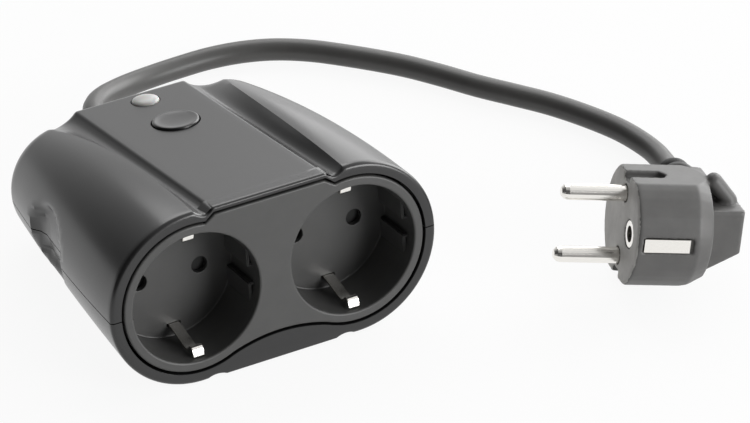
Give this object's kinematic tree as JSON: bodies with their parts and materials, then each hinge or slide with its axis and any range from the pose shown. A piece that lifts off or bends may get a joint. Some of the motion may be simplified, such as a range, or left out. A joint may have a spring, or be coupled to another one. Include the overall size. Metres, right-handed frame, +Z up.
{
  "type": "smart power strip",
  "caption": "Wedge-shaped power strip with side-earthed sockets on its leaning front, a push button and light on top, and a short lead to an angled plug",
  "frame": {"origin": "middle of the housing's box at table height", "axes": "+X along the row of sockets, -Y is where the sockets face, +Z up from the table"},
  "size_m": [0.1991, 0.1862, 0.0525],
  "materials": {
    "shell": "smooth satin moulding",
    "panel": "fine-grained moulding",
    "inner": "plain grey moulding",
    "spring_steel": "drawn wire",
    "screw_steel": "plain",
    "contact_brass": "stamped sheet",
    "contact_nickel": "nickel-plated sheet and rod",
    "board": "solder mask",
    "relay_case": "moulded case",
    "dark_case": "moulded case",
    "copper": "enamelled winding",
    "lens": "milky",
    "soft_rubber": "moulded, matt",
    "sheath": "extruded, slightly glossy",
    "plug_plastic": "fine-grained moulding",
    "live_wire": "insulation",
    "neutral_wire": "insulation",
    "earth_wire": "insulation"
  },
  "bodies": {
    "housing": {"upper_shell": "shell", "lower_shell": "shell", "front_panel": "panel", "shutter_spring_left": "spring_steel", "shutter_spring_right": "spring_steel", "contact_carrier": "inner", "line_rail": "contact_brass", "neutral_rail": "contact_brass", "earth_rail": "contact_nickel", "housing_screw_1": "screw_steel", "housing_screw_2": "screw_steel", "housing_screw_3": "screw_steel", "housing_screw_4": "screw_steel", "board_screw_1": "screw_steel", "board_screw_2": "screw_steel", "board_screw_3": "screw_steel", "board_screw_4": "screw_steel", "carrier_screw_1": "screw_steel", "carrier_screw_2": "screw_steel", "circuit_board": "board", "relay": "relay_case", "capacitor": "dark_case", "choke": "copper", "radio_module": "screw_steel", "tact_switch": "dark_case", "indicator_led": "lens", "led_lens": "lens", "cord_bend_protector": "soft_rubber", "cord_tail": "sheath", "cord_clamp": "inner", "clamp_screw_1": "screw_steel", "clamp_screw_2": "screw_steel", "wire_neutral": "neutral_wire", "wire_earth": "earth_wire", "wire_live": "live_wire", "wire_switched": "live_wire", "plug_body": "plug_plastic", "plug_pin_1": "contact_nickel", "plug_pin_2": "contact_nickel", "plug_earth_strip_near": "contact_nickel", "plug_earth_strip_far": "contact_nickel", "plug_earth_socket": "contact_nickel", "plug_strain_relief": "soft_rubber", "cord": "sheath"},
    "button": {"push_button": "shell", "switch_plunger": "dark_case"},
    "left_shutter": {"shutter_left": "inner"},
    "right_shutter": {"shutter_right": "inner"}
  },
  "joints": [
    {"name": "button_press", "type": "slide", "parent": "housing", "child": "button", "axis": [0, -0.1953, -0.9807], "range_m": [0, 0.0006], "stiffness_N_per_m": 1500, "springref_m": -0.0006},
    {"name": "left_shutter_slide", "type": "slide", "parent": "housing", "child": "left_shutter", "axis": [0, -0.1219, -0.9925], "range_m": [0, 0.0056], "stiffness_N_per_m": 120, "springref_m": -0.002, "deforming": ["shutter_spring_left"]},
    {"name": "right_shutter_slide", "type": "slide", "parent": "housing", "child": "right_shutter", "axis": [0, -0.1219, -0.9925], "range_m": [0, 0.0056], "stiffness_N_per_m": 120, "springref_m": -0.002, "deforming": ["shutter_spring_right"]}
  ]
}
